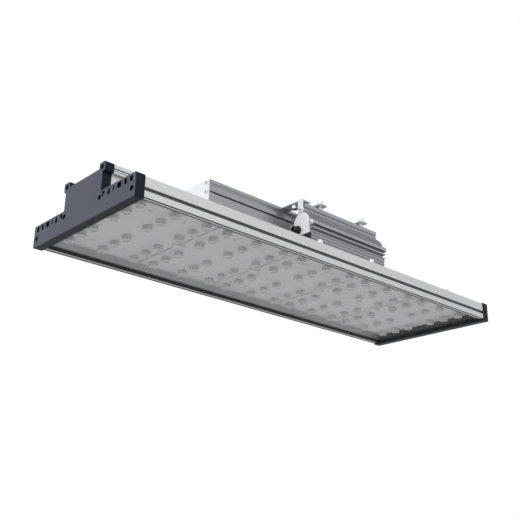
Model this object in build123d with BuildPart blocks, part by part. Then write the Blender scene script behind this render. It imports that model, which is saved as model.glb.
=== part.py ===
"""Long aluminium LED luminaire, hung with its light facing down.

The body is one extrusion: a wide finned plate that carries five LED boards behind a glass
window, with a closed wiring channel and two screw rails along its back. Dark moulded caps
close both ends. A boxed control gear sits on the rails and a finned driver beside them.

The frame has its origin at the centre of the underside, +X along the body, +Z up, millimetres.
"""
import math
import os

from build123d import *

# Whole luminaire
fixture_length = 700.0
cap_depth = 12.5
cap_gasket_thick = 1.0
cap_overhang = 0.6

# Cross-section of the body extrusion
body_half_width = 115.4
rim_height = 2.8
lip_thick = 0.8
lip_width = 6.1
slot_reach = 3.4
glass_thick = 3.0
glass_edge_seal = 1.2
seal_leg = 0.7
seal_width_below = 8.1
seal_width_above = 5.0
corner_block_width = 9.9
web_thick = 3.2
fin_height = 8.4
side_wall_thick = 4.0
fin_shares = (0.855, 0.687, 0.478, 0.352)
last_fin_gap = 13.0
fin_root = 3.0
fin_tip = 1.8
side_groove_height = 8.0
side_groove_mouth = 4.6
side_groove_floor = 2.4
side_groove_depth = 2.2

# Screw ports that run the whole length of the extrusions
port_radius = 1.7
port_wall = 2.1
port_slot = 1.6
corner_port_inset = 6.4
corner_port_height = 11.3
wing_port_share = 0.269
wing_port_rise = 2.4

# Wiring channel and rails on the back of the body
channel_half_width = 41.8
channel_wall = 3.2
channel_height = 39.9
channel_roof = 2.5
rail_half_width = 5.2
rail_rise = 8.5
rail_drop = 3.0
rail_port_inset = 0.8
rail_port_rise = 3.0
rail_groove = 1.2

# Moulded end caps
cap_cover = 2.0
cap_channel_cover = 1.5
ear_size = 12.4
ear_round = 1.6
cap_corner_round = 1.2
vent_margin = 1.5
vent_floor = 1.0
vent_roof = 2.4
notch_height = 3.4
port_window_radius = 2.9
port_window_slot = 3.6
core_wall = 3.0
core_floor = 3.5
core_rib = 3.4
core_count = 5
core_top = 16.6

# Screws of the end caps
cap_head_radius = 3.1
cap_head_height = 2.4
cap_bore_radius = 3.4
cap_bore_depth = 8.0
screw_hole_clearance = 0.45
port_grip_clearance = 0.05
cap_screw_length = 16.0

# LED boards, their lenses and what is on them
board_count = 5
board_end_gap = 1.75
board_seam = 0.6
board_side_gap = 10.0
board_thick = 1.6
lens_inner_row = 23.0
lens_row_margin = 16.0
lens_column_pitch = 50.0
lens_base_radius = 6.3
lens_face_radius = 6.9
lens_height = 7.1
lens_gap = 0.4
lens_pocket = 4.4
chip_size = 3.6
chip_height = 0.7
chip_clearance = 0.4
board_head_radius = 2.8
board_head_height = 1.9
board_shank_radius = 1.4
board_tap_depth = 2.6
thread_clearance = 0.05
link_length = 17.0
link_width = 8.0
link_height = 4.4
link_round = 0.8
terminal_length = 34.0
terminal_width = 20.0
terminal_height = 15.0
terminal_poles = 3
terminal_entry_radius = 2.2
terminal_entry_depth = 9.0
terminal_inset = 40.0

# Boxed control gear on the rails
gear_start = -188.0
gear_length = 320.0
gear_half_width = 42.0
gear_height = 34.0
gear_flange = 4.2
gear_foot_reach = 4.2
gear_foot_thick = 2.2
gear_wall_side = 8.8
gear_wall_level = 3.0
gear_waist = 1.4
gear_hollow = 3.4
gear_ridge = 1.6
gear_port_inset = 4.4
gear_low_port_height = 16.5
gear_high_port_height = 30.2
gear_plate_thick = 2.0
gear_plate_inset = 0.4
gear_foot_screw_inset = 20.0
gear_foot_screw_edge = 2.4
foot_head_radius = 2.2
foot_head_height = 1.8
foot_shank_radius = 1.4
foot_tap_depth = 3.8

# Finned driver beside the rails
driver_start = -49.0
driver_length = 160.0
driver_rail_gap = 8.8
driver_bolt_gap = 3.2
driver_spring = 35.0
driver_arch_rise = 20.3
driver_wall = 3.0
driver_neck_width = 6.0
driver_boss_width = 9.6
driver_boss_height = 8.5
driver_boss_round = 3.0
driver_height = 70.0
driver_tooth_count = 9
driver_tooth_start = 8.0
driver_tooth_end = 64.0
driver_tooth_thick = 1.1
driver_tooth_reach = 1.2
driver_lug_reach = 6.3
driver_lug_thick = 5.0
driver_side_port_inset = 2.3
driver_shelf_height = 27.6
driver_shelf_thick = 2.4
driver_shelf_reach = 4.6
driver_skirt_height = 22.6
driver_skirt_reach = 2.9
driver_skirt_lean = 3.3
driver_rib_count = 5
driver_rib_pitch = 4.4
driver_rib_low = 3.6
driver_rib_thick = 1.6
driver_rib_reach = 1.2
driver_plate_thick = 2.0
driver_plate_bottom = 20.0
driver_plate_inset = 1.4
driver_top_port_drop = 10.5
driver_tab_width = 5.0
driver_lug_radius = 3.7
plate_head_radius = 2.7
plate_head_height = 1.8
plate_shank_length = 10.0

# Plate under the driver
base_thick = 2.0
base_overrun = 13.0
base_edge_inset = 3.4
base_inner_gap = 1.8
base_round = 4.0
base_screw_inset = 7.0
base_screw_spacing = 108.0
bolt_af = 7.0
bolt_head_height = 5.0
bolt_shank_radius = 2.0
base_washer_radius = 3.4
base_washer_thick = 0.8
nut_side = 6.4
nut_thick = 3.2

# Straps that tie the driver to the control gear
strap_places = (-10.0, 79.0)
strap_width = 16.0
strap_thick = 2.0
strap_overhang = 8.0
strap_round = 3.0
strap_raise = 3.0
strap_bend_gap = 4.0
strap_bend_length = 10.0
strap_lip = 10.0
strap_screw_inset = 10.0
stud_radius = 2.6
stud_engagement = 5.0
stud_thread_radius = 1.8
stud_tip = 1.6
stud_chamfer = 0.4
strap_washer_radius = 5.0
strap_washer_thick = 1.0
strap_nut_af = 8.0
strap_nut_height = 5.0

# Tie bracket at the driver's near end, with the earth bolt hanging from it
tie_tab_half_width = 4.5
tie_tab_drop = 5.0
tie_strip_width = 17.0
tie_strip_reach = 16.0
earth_bolt_inset = 5.0
earth_bolt_shift = 17.7
earth_af = 9.0
earth_head_height = 5.2
earth_shank_radius = 2.0
earth_shank_tip = 2.0
earth_washer_radius = 5.0
earth_washer_thick = 0.8

# Cable glands
gland_af = 12.0
gland_hex_length = 4.0
gland_dome_radius = 5.0
gland_dome_length = 7.0
gland_bore_radius = 2.6
gland_thread_radius = 4.0
gland_tail = 7.0
driver_gland_gap = 3.702
driver_gland_height = 28.0
gear_gland_shifts = (-18.0, 18.0)
gear_gland_height = 17.0

# Electronics inside the two gear cases
pad_thick = 1.0
circuit_thick = 1.6
circuit_edge_gap = 1.0
core_length = 34.0
gear_core_width = 20.0
driver_core_gap = 3.402
core_height = 17.0
core_round = 2.0
capacitor_radius = 7.0
capacitor_length = 26.0
capacitor_count = 3
capacitor_pitch = 36.0

# Levels above the underside
slot_floor = rim_height + lip_thick
glass_bottom = slot_floor + seal_leg
slot_roof = glass_bottom + glass_thick + seal_leg
lens_face = glass_bottom + glass_thick + lens_gap
board_bottom = lens_face + lens_height
web_bottom = board_bottom + board_thick
web_top = web_bottom + web_thick
fin_top = web_top + fin_height
channel_top = web_top + channel_height
rail_top = channel_top + rail_rise
rail_port_height = channel_top + rail_port_rise
wing_port_height = web_top + wing_port_rise
gear_top = rail_top + gear_height
base_top = fin_top + base_thick
driver_top = base_top + driver_height

# Places along the length
cap_face = fixture_length / 2
cap_seat = cap_face - cap_depth
body_end = cap_seat - cap_gasket_thick
body_length = 2 * body_end
gear_end = gear_start + gear_length
driver_end = driver_start + driver_length

# Places across the width
lip_edge = body_half_width - lip_width
slot_edge = body_half_width - slot_reach
glass_half_width = slot_edge - glass_edge_seal
corner_edge = body_half_width - corner_block_width
corner_port_place = body_half_width - corner_port_inset
wall_inner = body_half_width - side_wall_thick
wing_span = wall_inner - channel_half_width
fin_places = [channel_half_width + share * wing_span for share in fin_shares]
fin_places.append(channel_half_width + last_fin_gap)
wing_port_place = channel_half_width + wing_port_share * wing_span
rail_port_place = channel_half_width - rail_port_inset
board_half_width = corner_edge - board_side_gap
base_outer_edge = body_half_width - base_edge_inset
base_inner_edge = channel_half_width + base_inner_gap
base_bolt_outer = (wall_inner + fin_places[0] + fin_root / 2) / 2
base_bolt_inner = (fin_places[-1] - fin_root / 2 + rail_port_place + port_radius + port_wall) / 2
driver_inner_tip = rail_port_place + rail_half_width + driver_rail_gap
driver_outer_tip = base_bolt_outer - bolt_af / 2 - driver_bolt_gap
driver_centre = -(driver_inner_tip + driver_outer_tip) / 2
driver_half_width = (driver_outer_tip - driver_inner_tip) / 2 - driver_lug_reach

cap_screw_points = [
    (side * place, height)
    for side in (-1, 1)
    for place, height in (
        (corner_port_place, corner_port_height),
        (rail_port_place, wing_port_height),
        (rail_port_place, rail_port_height),
    )
]
board_pitch = (body_length - 2 * board_end_gap) / board_count
board_centres = [(i - (board_count - 1) / 2) * board_pitch for i in range(board_count)]
seam_centres = [(i - (board_count - 2) / 2) * board_pitch for i in range(board_count - 1)]
lens_outer_row = board_half_width - lens_row_margin
lens_middle_row = (lens_inner_row + lens_outer_row) / 2
lens_points = [
    (centre + column * lens_column_pitch, side * row)
    for centre in board_centres
    for column in (-1, 0, 1)
    for row in (lens_inner_row, lens_middle_row, lens_outer_row)
    for side in (-1, 1)
]
board_screw_points = [
    (centre + column * lens_column_pitch / 2, side * (lens_middle_row + lens_outer_row) / 2)
    for centre in board_centres
    for column in (-1, 1)
    for side in (-1, 1)
]
foot_screw_points = [
    (x, side * (gear_half_width + gear_foot_reach - gear_foot_screw_edge))
    for x in (gear_start + gear_foot_screw_inset, gear_end - gear_foot_screw_inset)
    for side in (-1, 1)
]

os.makedirs("parts", exist_ok=True)


def save(part, name):
    """Label a finished piece and write it as parts/NAME.step."""
    part.label = name
    export_step(part, f"parts/{name}.step")


# Body extrusion: web, side walls with their glass slots, fins, ports, channel and rails
def body_half_outline():
    """One side wall with its glass slot, corner block and outer groove, as one face."""
    groove_low = rim_height + side_groove_height
    groove_mid = (side_groove_mouth - side_groove_floor) / 2
    points = [
        (lip_edge, rim_height),
        (body_half_width, rim_height),
        (body_half_width, groove_low),
        (body_half_width - side_groove_depth, groove_low + groove_mid / 2),
        (body_half_width - side_groove_depth, groove_low + groove_mid / 2 + side_groove_floor),
        (body_half_width, groove_low + side_groove_mouth),
        (body_half_width, fin_top),
        (wall_inner, fin_top),
        (wall_inner, web_top),
        (corner_edge, web_top),
        (corner_edge, slot_roof),
        (slot_edge, slot_roof),
        (slot_edge, slot_floor),
        (lip_edge, slot_floor),
    ]
    with BuildSketch(mode=Mode.PRIVATE) as wall:
        with BuildLine():
            Polyline(*points, close=True)
        make_face()
        with Locations((corner_port_place, corner_port_height)):
            Circle(port_radius, mode=Mode.SUBTRACT)
    return wall.sketch


def fins():
    """Tapered cooling fins on one wing, foot on the web."""
    with BuildSketch(mode=Mode.PRIVATE) as row:
        for place in fin_places:
            with BuildLine():
                Polyline(
                    (place - fin_root / 2, web_top),
                    (place + fin_root / 2, web_top),
                    (place + fin_tip / 2, fin_top),
                    (place - fin_tip / 2, fin_top),
                    close=True,
                )
            make_face()
    return row.sketch


with BuildPart() as housing:
    with BuildSketch(Plane.YZ.offset(-body_end)):
        with Locations((0, (web_bottom + web_top) / 2)):
            Rectangle(2 * wall_inner, web_thick)
        add(body_half_outline())
        add(fins())
        with Locations((wing_port_place, wing_port_height), (rail_port_place, wing_port_height)):
            Circle(port_radius + port_wall)
        with Locations((channel_half_width - channel_wall / 2, (web_top + channel_top) / 2)):
            Rectangle(channel_wall, channel_height)
        with Locations((channel_half_width / 2, channel_top - channel_roof / 2)):
            Rectangle(channel_half_width, channel_roof)
        with Locations((rail_port_place, (rail_top + channel_top - rail_drop) / 2)):
            Rectangle(2 * rail_half_width, rail_rise + rail_drop)
        with Locations(
            (wing_port_place, wing_port_height),
            (rail_port_place, wing_port_height),
            (rail_port_place, rail_port_height),
        ):
            Circle(port_radius, mode=Mode.SUBTRACT)
        with Locations((wing_port_place, wing_port_height + port_radius + port_wall / 2)):
            Rectangle(port_slot, port_radius + 2 * port_wall, mode=Mode.SUBTRACT)
        with Locations((rail_port_place + rail_half_width / 2, rail_port_height)):
            Rectangle(rail_half_width, port_slot, mode=Mode.SUBTRACT)
        with Locations((rail_port_place + rail_half_width, channel_top)):
            Rectangle(2 * rail_groove, rail_groove, mode=Mode.SUBTRACT)
        mirror(about=Plane.YZ)
    extrude(amount=body_length)
    with Locations(*[(x, y, web_bottom) for x, y in board_screw_points]):
        Cylinder(
            board_shank_radius + thread_clearance,
            2 * board_tap_depth,
            mode=Mode.SUBTRACT,
        )
    with Locations(*[(x, y, rail_top) for x, y in foot_screw_points]):
        Cylinder(foot_shank_radius + thread_clearance, 2 * foot_tap_depth, mode=Mode.SUBTRACT)
save(housing.part, "housing_extrusion")


# End caps: one moulding each, with a low wide part, a tall part over the channel and two ears
cap_half_width = body_half_width + cap_overhang
cap_top = fin_top + cap_cover
cap_tall_half_width = channel_half_width + cap_overhang
cap_tall_top = channel_top + cap_channel_cover
wing_edges = [wall_inner] + [
    edge for place in fin_places[:-1] for edge in (place + fin_root / 2, place - fin_root / 2)
]
vent_gaps = list(zip(wing_edges[::2], wing_edges[1::2]))
vent_low = web_top + vent_floor
vent_high = cap_top - vent_roof
notch_outer = fin_places[-1] - fin_root / 2 - vent_margin
notch_inner = rail_port_place + port_radius + port_wall + vent_margin / 2


def cap_outline(grow=0.0):
    """Outline of the cap seen from the end, grown or shrunk all round."""
    with BuildSketch(mode=Mode.PRIVATE) as outline:
        with Locations((0, cap_top / 2)):
            Rectangle(2 * cap_half_width + 2 * grow, cap_top + 2 * grow)
        with Locations((0, cap_tall_top / 2)):
            Rectangle(2 * cap_tall_half_width + 2 * grow, cap_tall_top + 2 * grow)
        corners = outline.vertices().group_by(Axis.X)
        fillet(corners[0] + corners[-1], cap_corner_round)
        with Locations((-rail_port_place, rail_port_height), (rail_port_place, rail_port_height)):
            RectangleRounded(ear_size + 2 * grow, ear_size + 2 * grow, ear_round)
    return outline.sketch


def vents():
    """Air slots of both wings: four plain ones, a notched one and a keyed port window."""
    with BuildSketch(mode=Mode.PRIVATE) as openings:
        for outer, inner in vent_gaps:
            with Locations(((outer + inner) / 2, (vent_low + vent_high) / 2)):
                Rectangle(outer - inner - 2 * vent_margin, vent_high - vent_low)
        with Locations((wing_port_place, wing_port_height)):
            Circle(port_window_radius)
        with Locations((wing_port_place, vent_high - notch_height / 2)):
            Rectangle(port_window_slot, notch_height)
        with Locations(((notch_outer + notch_inner) / 2, vent_high - notch_height / 2)):
            Rectangle(notch_outer - notch_inner, notch_height)
        with Locations((notch_inner + (notch_outer - notch_inner) / 4, (vent_low + vent_high) / 2)):
            Rectangle((notch_outer - notch_inner) / 2, vent_high - vent_low)
        mirror(about=Plane.YZ)
    return openings.sketch


core_pitch = 2 * (corner_port_place - cap_bore_radius - core_wall) / core_count
core_width_low = core_pitch - core_rib
tall_core_width = cap_tall_half_width - core_wall - cap_bore_radius - core_rib

with BuildPart() as end_cap_near:
    with BuildSketch(Plane.YZ.offset(-cap_face)):
        add(cap_outline())
    extrude(amount=cap_depth)
    with BuildSketch(Plane.YZ.offset(-cap_face)):
        add(vents())
    extrude(amount=cap_depth, mode=Mode.SUBTRACT)
    with BuildSketch(Plane.YZ.offset(-cap_face)):
        with Locations(*cap_screw_points):
            Circle(cap_bore_radius)
    extrude(amount=cap_bore_depth, mode=Mode.SUBTRACT)
    with BuildSketch(Plane.YZ.offset(-cap_face)):
        with Locations(*cap_screw_points):
            Circle(port_radius + screw_hole_clearance)
    extrude(amount=cap_depth, mode=Mode.SUBTRACT)
    with BuildSketch(Plane.YZ.offset(-cap_face + core_floor)):
        with Locations((0, (core_wall + core_top) / 2)):
            with GridLocations(core_pitch, 1, core_count, 1):
                Rectangle(core_width_low, core_top - core_wall)
        with Locations((0, (web_top + cap_tall_top - core_wall) / 2)):
            with GridLocations(tall_core_width + core_rib, 1, 2, 1):
                Rectangle(tall_core_width, cap_tall_top - core_wall - web_top)
    extrude(amount=cap_depth - core_floor, mode=Mode.SUBTRACT)
save(end_cap_near.part, "end_cap_near")

with BuildPart() as end_cap_far:
    mirror(end_cap_near.part, about=Plane.YZ)
save(end_cap_far.part, "end_cap_far")

# Rubber sheets between the caps and the body, cut out at the vents and the screws
with BuildPart() as end_gasket_near:
    with BuildSketch(Plane.YZ.offset(-cap_seat)):
        add(cap_outline(-cap_overhang))
        add(vents(), mode=Mode.SUBTRACT)
        with Locations(*cap_screw_points):
            Circle(port_radius + screw_hole_clearance, mode=Mode.SUBTRACT)
    extrude(amount=cap_gasket_thick)
save(end_gasket_near.part, "end_gasket_near")

with BuildPart() as end_gasket_far:
    mirror(end_gasket_near.part, about=Plane.YZ)
save(end_gasket_far.part, "end_gasket_far")

# Self-tapping screws, sunk in the caps' counterbores and gripping the ports
with BuildPart() as cap_screws:
    with BuildSketch(Plane.YZ.offset(-cap_face + cap_bore_depth - cap_head_height)):
        with Locations(*cap_screw_points):
            Circle(cap_head_radius)
    extrude(amount=cap_head_height)
    with BuildSketch(Plane.YZ.offset(-cap_face + cap_bore_depth)):
        with Locations(*cap_screw_points):
            Circle(port_radius - port_grip_clearance)
    extrude(amount=cap_screw_length)
    mirror(about=Plane.YZ)
save(cap_screws.part, "cap_screws")

# Glass window, with a channel seal over each long edge, slid into the body's slots
with BuildPart() as window_glass:
    with Locations((0, 0, glass_bottom + glass_thick / 2)):
        Box(body_length, 2 * glass_half_width, glass_thick)
save(window_glass.part, "window_glass")

with BuildPart() as window_seal_left:
    with BuildSketch(Plane.YZ.offset(-body_end)):
        with BuildLine():
            Polyline(
                (-slot_edge, slot_floor),
                (-slot_edge + seal_width_below, slot_floor),
                (-slot_edge + seal_width_below, glass_bottom),
                (-glass_half_width, glass_bottom),
                (-glass_half_width, glass_bottom + glass_thick),
                (-slot_edge + seal_width_above, glass_bottom + glass_thick),
                (-slot_edge + seal_width_above, slot_roof),
                (-slot_edge, slot_roof),
                close=True,
            )
        make_face()
    extrude(amount=body_length)
save(window_seal_left.part, "window_seal_left")

with BuildPart() as window_seal_right:
    mirror(window_seal_left.part, about=Plane.XZ)
save(window_seal_right.part, "window_seal_right")

# LED boards, end to end under the web, each held by four screws
for number, centre in enumerate(board_centres, start=1):
    with BuildPart() as led_board:
        with Locations((centre, 0, board_bottom + board_thick / 2)):
            Box(board_pitch - board_seam, 2 * board_half_width, board_thick)
        with Locations(*[(x, y, board_bottom) for x, y in board_screw_points]):
            Cylinder(
                board_shank_radius + screw_hole_clearance,
                3 * board_thick,
                mode=Mode.SUBTRACT,
            )
    save(led_board.part, f"led_board_{number}")

# LED packages and the flared lenses over them, with a pocket for each package
with BuildPart() as led_chips:
    with Locations(*[(x, y, board_bottom - chip_height / 2) for x, y in lens_points]):
        Box(chip_size, chip_size, chip_height)
save(led_chips.part, "led_chips")

with BuildPart() as lenses:
    with Locations(*[(x, y, lens_face + lens_height / 2) for x, y in lens_points]):
        Cone(lens_face_radius, lens_base_radius, lens_height)
    with Locations(*[(x, y, board_bottom) for x, y in lens_points]):
        Box(lens_pocket, lens_pocket, 2 * (chip_height + chip_clearance), mode=Mode.SUBTRACT)
save(lenses.part, "lenses")

with BuildPart() as board_screws:
    with BuildSketch(Plane.XY.offset(board_bottom - board_head_height)):
        with Locations(*board_screw_points):
            Circle(board_head_radius)
    extrude(amount=board_head_height)
    with BuildSketch(Plane.XY.offset(board_bottom)):
        with Locations(*board_screw_points):
            Circle(board_shank_radius)
    extrude(amount=board_thick + board_tap_depth - port_grip_clearance)
save(board_screws.part, "board_screws")

# Bridging connectors over the seams between the boards
with BuildPart() as board_links:
    with Locations(*[(x, 0, board_bottom - link_height / 2) for x in seam_centres]):
        Box(link_length, link_width, link_height)
    chamfer(board_links.faces().group_by(Axis.Z)[0].edges(), link_round)
save(board_links.part, "board_links")

# Supply terminal inside the channel, with a wire entry for each pole
with BuildPart() as terminal_block:
    with Locations((-body_end + terminal_inset, 0, web_top + terminal_height / 2)):
        Box(terminal_length, terminal_width, terminal_height)
    entry_edge = -body_end + terminal_inset - terminal_length / 2
    with BuildSketch(Plane.YZ.offset(entry_edge)):
        with Locations((0, web_top + terminal_height / 2)):
            with GridLocations(terminal_width / terminal_poles, 1, terminal_poles, 1):
                Circle(terminal_entry_radius)
    extrude(amount=terminal_entry_depth, mode=Mode.SUBTRACT)
save(terminal_block.part, "terminal_block")


# Control gear case: an extrusion with foot flanges, waisted sides and four screw ports
gear_case_start = gear_start + gear_plate_thick
gear_case_end = gear_end - gear_plate_thick
gear_port_place = gear_half_width - gear_port_inset
gear_flank = gear_half_width - gear_waist / 2
gear_foot_edge = gear_half_width + gear_foot_reach
gear_cavity_half_width = gear_half_width - gear_wall_side
gear_floor = rail_top + gear_wall_level
gear_ports = [
    (side * gear_port_place, rail_top + height)
    for side in (-1, 1)
    for height in (gear_low_port_height, gear_high_port_height)
]
gear_ridge_level = rail_top + gear_low_port_height + port_slot / 2 + gear_ridge
gear_flange_level = gear_top - gear_flange
strap_screw_place = gear_half_width - strap_screw_inset
tie_near_face = driver_start - strap_thick
tie_middle = tie_near_face + tie_strip_width / 2
tie_screw_point = (tie_middle, -gear_half_width + tie_strip_reach / 2)
roof_screw_points = [(x, strap_screw_place) for x in strap_places] + [tie_screw_point]
with BuildPart() as gear_case:
    with BuildSketch(Plane.YZ.offset(gear_case_start)):
        with BuildLine():
            Polyline(
                (0, gear_top),
                (0, rail_top),
                (gear_foot_edge, rail_top),
                (gear_foot_edge, rail_top + gear_foot_thick),
                (gear_flank, rail_top + gear_foot_thick),
                (gear_flank - gear_waist / 2, gear_ridge_level - port_slot - gear_ridge),
                (gear_half_width, gear_ridge_level - gear_ridge),
                (gear_half_width, gear_ridge_level),
            )
            ThreePointArc(
                (gear_half_width, gear_ridge_level),
                (gear_half_width - gear_hollow / 2, (gear_ridge_level + gear_flange_level) / 2),
                (gear_half_width, gear_flange_level),
            )
            Polyline((gear_half_width, gear_flange_level), (gear_half_width, gear_top), (0, gear_top))
        make_face()
        mirror(about=Plane.YZ)
        with Locations((0, rail_top + gear_height / 2)):
            Rectangle(
                2 * gear_cavity_half_width,
                gear_height - 2 * gear_wall_level,
                mode=Mode.SUBTRACT,
            )
        with Locations(*gear_ports):
            Circle(port_radius, mode=Mode.SUBTRACT)
        for side in (-1, 1):
            with Locations(
                (side * (gear_port_place + gear_port_inset / 2), rail_top + gear_low_port_height)
            ):
                Rectangle(gear_port_inset, port_slot, mode=Mode.SUBTRACT)
    extrude(amount=gear_case_end - gear_case_start)
    with Locations(*[(x, y, rail_top) for x, y in foot_screw_points]):
        Cylinder(foot_shank_radius + screw_hole_clearance, 4 * gear_foot_thick, mode=Mode.SUBTRACT)
    with Locations(*[(x, y, gear_top) for x, y in roof_screw_points]):
        Cylinder(bolt_shank_radius + thread_clearance, 2 * gear_wall_level, mode=Mode.SUBTRACT)
save(gear_case.part, "gear_case")

gear_plate_height = gear_height - gear_plate_inset - gear_foot_thick
gear_plate_centre = rail_top + gear_foot_thick + gear_plate_height / 2

with BuildPart() as gear_end_plate_near:
    with BuildSketch(Plane.YZ.offset(gear_start)):
        with Locations((0, gear_plate_centre)):
            RectangleRounded(2 * (gear_half_width - gear_plate_inset), gear_plate_height, ear_round)
        with Locations(*gear_ports):
            Circle(port_radius + screw_hole_clearance, mode=Mode.SUBTRACT)
    extrude(amount=gear_plate_thick)
save(gear_end_plate_near.part, "gear_end_plate_near")

with BuildPart() as gear_end_plate_far:
    with BuildSketch(Plane.YZ.offset(gear_case_end)):
        with Locations((0, gear_plate_centre)):
            RectangleRounded(2 * (gear_half_width - gear_plate_inset), gear_plate_height, ear_round)
        with Locations(*gear_ports):
            Circle(port_radius + screw_hole_clearance, mode=Mode.SUBTRACT)
        with Locations(*[(y, rail_top + gear_gland_height) for y in gear_gland_shifts]):
            Circle(gland_thread_radius + port_grip_clearance, mode=Mode.SUBTRACT)
    extrude(amount=gear_plate_thick)
save(gear_end_plate_far.part, "gear_end_plate_far")

with BuildPart() as gear_plate_screws:
    for face, inward in ((gear_start, 1), (gear_end, -1)):
        with BuildSketch(Plane.YZ.offset(face)):
            with Locations(*gear_ports):
                Circle(plate_head_radius)
        extrude(amount=-inward * plate_head_height)
        with BuildSketch(Plane.YZ.offset(face)):
            with Locations(*gear_ports):
                Circle(port_radius - port_grip_clearance)
        extrude(amount=inward * (gear_plate_thick + plate_shank_length))
save(gear_plate_screws.part, "gear_plate_screws")

with BuildPart() as gear_foot_screws:
    with BuildSketch(Plane.XY.offset(rail_top + gear_foot_thick)):
        with Locations(*foot_screw_points):
            Circle(foot_head_radius)
    extrude(amount=foot_head_height)
    with BuildSketch(Plane.XY.offset(rail_top + gear_foot_thick)):
        with Locations(*foot_screw_points):
            Circle(foot_shank_radius)
    extrude(amount=-(gear_foot_thick + foot_tap_depth - port_grip_clearance))
save(gear_foot_screws.part, "gear_foot_screws")


# Cable glands: a hexagon against the plate, a domed nut outside it and a thread behind it
def gland(plane, outward):
    """One gland on a plate's outer face; outward is +1 or -1 along the plane's normal."""
    with BuildPart() as body:
        with BuildSketch(plane):
            RegularPolygon(gland_af / 2, 6, major_radius=False)
        extrude(amount=outward * gland_hex_length)
        with BuildSketch(plane.offset(outward * gland_hex_length)):
            Circle(gland_dome_radius)
        extrude(amount=outward * gland_dome_length, taper=8)
        with BuildSketch(plane):
            Circle(gland_thread_radius)
        extrude(amount=-outward * gland_tail)
        with BuildSketch(plane.offset(-outward * gland_tail)):
            Circle(gland_bore_radius)
        extrude(
            amount=outward * (gland_tail + gland_hex_length + gland_dome_length),
            mode=Mode.SUBTRACT,
        )
    return body.part


for side, shift in zip(("left", "right"), gear_gland_shifts):
    gland_face = Plane(
        origin=(gear_end, shift, rail_top + gear_gland_height), x_dir=(0, 1, 0), z_dir=(1, 0, 0)
    )
    save(gland(gland_face, 1), f"gear_gland_{side}")


# Electronics on an insulating pad, in each case
def circuit(start, end, half_width, centre, floor, core_width, prefix):
    """Pad, circuit board, transformer core and capacitors on a case's floor."""
    length = end - start - 2 * plate_shank_length
    middle = (start + end) / 2
    with BuildPart() as pad:
        with Locations((middle, centre, floor + pad_thick / 2)):
            Box(length, 2 * (half_width - circuit_edge_gap), pad_thick)
    save(pad.part, f"{prefix}_insulating_pad")
    with BuildPart() as board:
        with Locations((middle, centre, floor + pad_thick + circuit_thick / 2)):
            Box(length - 2 * circuit_edge_gap, 2 * (half_width - 2 * circuit_edge_gap), circuit_thick)
    save(board.part, f"{prefix}_circuit_board")
    top = floor + pad_thick + circuit_thick
    with BuildPart() as core:
        with Locations((start + length / 4, centre, top + core_height / 2)):
            Box(core_length, core_width, core_height)
        fillet(core.edges().filter_by(Axis.Z), core_round)
    save(core.part, f"{prefix}_transformer")
    with BuildPart() as cans:
        with Locations((middle + length / 6, centre, top + capacitor_radius)):
            with GridLocations(capacitor_pitch, 1, capacitor_count, 1):
                Cylinder(capacitor_radius, capacitor_length, rotation=(0, 90, 0))
    save(cans.part, f"{prefix}_capacitors")


circuit(
    gear_case_start,
    gear_case_end,
    gear_cavity_half_width,
    0,
    gear_floor,
    gear_core_width,
    "gear",
)


# Finned driver: an arched extrusion with a top boss, toothed shoulders, side lugs with their
# screw ports, a shelf below them and a ribbed skirt that leans in towards its foot
driver_case_start = driver_start + driver_plate_thick
driver_case_end = driver_end - driver_plate_thick
spring_level = base_top + driver_spring
driver_cavity_half_width = driver_half_width - driver_wall
driver_gland_place = driver_centre + driver_cavity_half_width - gland_thread_radius - driver_gland_gap
skirt_top = base_top + driver_skirt_height
skirt_half_width = driver_half_width + driver_skirt_reach
driver_top_port = (driver_centre, driver_top - driver_top_port_drop)
side_port_reach = driver_half_width + driver_side_port_inset
driver_teeth = [
    driver_tooth_start + i * (driver_tooth_end - driver_tooth_start) / (driver_tooth_count - 1)
    for i in range(driver_tooth_count)
]
driver_ribs = [driver_rib_low + i * driver_rib_pitch for i in range(driver_rib_count)]
driver_ports = [driver_top_port] + [
    (driver_centre + side * side_port_reach, spring_level) for side in (-1, 1)
]


def arch(half_width, rise, bottom):
    """Straight-sided arch on the driver's centre line, from bottom up."""
    with BuildSketch(mode=Mode.PRIVATE) as shape:
        with Locations((0, spring_level)):
            Ellipse(half_width, rise)
        with Locations((0, spring_level - rise)):
            Rectangle(3 * half_width, 2 * rise, mode=Mode.SUBTRACT)
        with Locations((0, (spring_level + bottom) / 2)):
            Rectangle(2 * half_width, spring_level - bottom)
    return Location((driver_centre, 0)) * shape.sketch


def skirt():
    """Lower body of the driver with its ribs, on the driver's centre line."""
    with BuildSketch(mode=Mode.PRIVATE) as lower:
        with BuildLine():
            Polyline(
                (-skirt_half_width, skirt_top),
                (skirt_half_width, skirt_top),
                (skirt_half_width - driver_skirt_lean, base_top),
                (-skirt_half_width + driver_skirt_lean, base_top),
                close=True,
            )
        make_face()
        for height in driver_ribs:
            lean = driver_skirt_lean * (1 - height / driver_skirt_height)
            with Locations((0, base_top + height)):
                Rectangle(2 * (skirt_half_width - lean + driver_rib_reach), driver_rib_thick)
    return Location((driver_centre, 0)) * lower.sketch


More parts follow.
